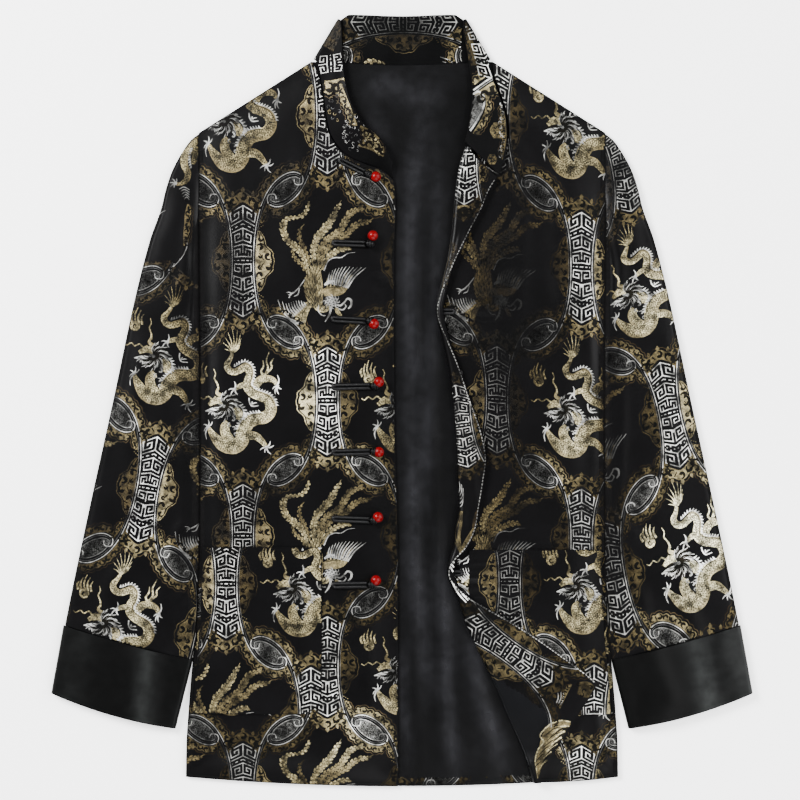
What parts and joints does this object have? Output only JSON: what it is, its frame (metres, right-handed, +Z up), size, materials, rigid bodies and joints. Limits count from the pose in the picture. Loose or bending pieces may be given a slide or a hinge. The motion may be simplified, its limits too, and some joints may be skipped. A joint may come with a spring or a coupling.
{
  "type": "tang jacket",
  "caption": "Men's satin brocade jacket with a stand-up collar, frog buttons and plain cuffs, laid flat and open with its left front turned back.",
  "frame": {"origin": "on the floor, under the middle of the jacket as it lies", "axes": "+X towards the wearer's left, +Y from the hem to the collar, +Z up from the floor that the back lies on"},
  "size_m": [0.7368, 0.8107, 0.0182],
  "materials": {
    "brocade": "black satin brocade woven with silver and gold dragons, phoenixes, meanders and cloud scrolls",
    "facing": "the same brocade on the inside edge of the front",
    "satin": "plain black satin",
    "cord": "black satin cord",
    "bead": "glossy red"
  },
  "bodies": {
    "root": {"back": "brocade", "front_right": "brocade", "front_left": "brocade", "facing_left": "facing", "sleeve_right": "brocade", "sleeve_left": "brocade", "cuff_right": "satin", "cuff_left": "satin", "collar": "brocade", "pocket_right": "brocade", "pocket_left": "brocade", "strap_1": "cord", "strap_2": "cord", "strap_3": "cord", "strap_4": "cord", "strap_5": "cord", "strap_6": "cord", "strap_7": "cord", "bead_1": "bead", "bead_2": "bead", "bead_3": "bead", "bead_4": "bead", "bead_5": "bead", "bead_6": "bead", "bead_7": "bead", "loop_1": "cord", "loop_2": "cord", "loop_3": "cord", "loop_4": "cord", "loop_5": "cord", "loop_6": "cord", "loop_7": "cord"}
  },
  "joints": []
}
